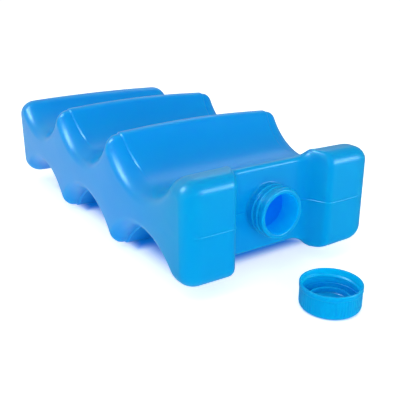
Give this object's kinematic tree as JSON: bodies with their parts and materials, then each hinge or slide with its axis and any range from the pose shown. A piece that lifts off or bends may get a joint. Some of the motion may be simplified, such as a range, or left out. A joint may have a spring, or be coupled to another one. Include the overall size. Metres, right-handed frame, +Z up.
{
  "type": "reusable ice pack",
  "caption": "Hollow contoured ice pack with can-shaped bays above and below, rounded ridges between them and a recessed open screw neck; its screw cap lies beside it, open side up.",
  "frame": {"origin": "middle of the ground rectangle that the pack and the cap beside it stand on", "axes": "+Z up, +Y along the pack away from its neck (the neck points to -Y), +X across it to the right seen from the neck's end"},
  "size_m": [0.108, 0.2553, 0.0632],
  "materials": {
    "pack": "satin, faintly translucent blue",
    "cap": "satin, faintly translucent blue"
  },
  "bodies": {
    "root": {"pack_body": "pack", "screw_cap": "cap"}
  },
  "joints": []
}
